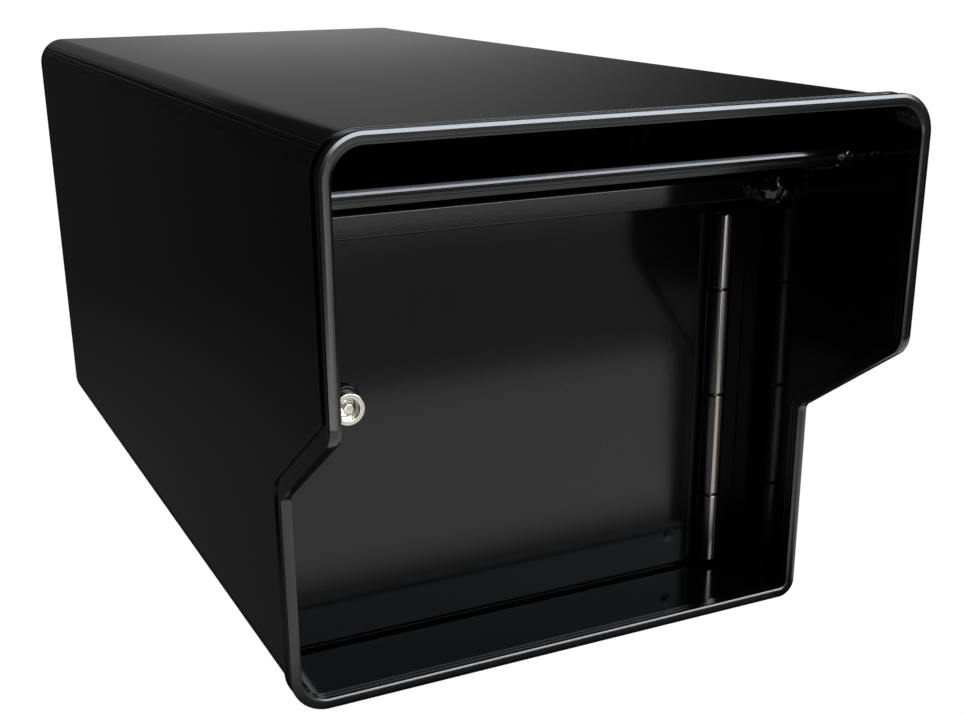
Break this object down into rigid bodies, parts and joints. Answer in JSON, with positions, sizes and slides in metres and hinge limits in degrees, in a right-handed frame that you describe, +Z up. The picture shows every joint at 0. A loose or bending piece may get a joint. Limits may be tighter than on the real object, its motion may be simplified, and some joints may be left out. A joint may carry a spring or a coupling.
{
  "type": "payment drop box",
  "caption": "Long steel box with a hooded mouth, a deposit slot over a sloping lip and a lockable lower door on a barrel hinge.",
  "frame": {"origin": "middle of the base, on the surface that the box stands on", "axes": "+X right seen from the front, +Y to the back with the mouth facing -Y, +Z up"},
  "size_m": [0.3088, 0.6478, 0.2958],
  "materials": {
    "powder_coat": "black satin powder coat",
    "edge_trim": "black satin vinyl",
    "hinge_steel": "dark oiled steel, satin",
    "nickel": "nickel plate, bright",
    "zinc": "zinc plate",
    "black_nylon": "black moulded nylon, glossy",
    "rubber": "black rubber"
  },
  "bodies": {
    "housing": {"housing_shell": "powder_coat", "back_panel": "powder_coat", "mouth_edge_trim": "edge_trim", "deposit_lip": "powder_coat", "fishing_baffle": "powder_coat", "door_header": "powder_coat", "strike_jamb": "powder_coat", "hinge_jamb": "powder_coat", "door_sill": "powder_coat", "door_bumper_upper": "rubber", "door_bumper_lower": "rubber", "frame_hinge_leaf": "hinge_steel", "hinge_pin": "zinc"},
    "door": {"door_panel": "powder_coat", "door_stiffener": "powder_coat", "door_hinge_leaf": "hinge_steel", "lock_housing": "nickel", "lock_collar": "black_nylon", "lock_washer": "zinc", "lock_nut": "zinc"},
    "lock": {"lock_plug": "nickel", "lock_cam": "zinc", "cam_stop_washer": "zinc", "cam_screw_washer": "zinc", "cam_screw": "zinc"}
  },
  "joints": [
    {"name": "door_hinge", "type": "hinge", "parent": "housing", "child": "door", "pos_m": [0.1288, -0.1948, 0.1136], "axis": [0, 0, 1], "range_deg": [0, 98]},
    {"name": "lock_turn", "type": "hinge", "parent": "door", "child": "lock", "pos_m": [-0.1003, -0.1772, 0.1393], "axis": [0, 1, 0], "range_deg": [0, 90]}
  ]
}
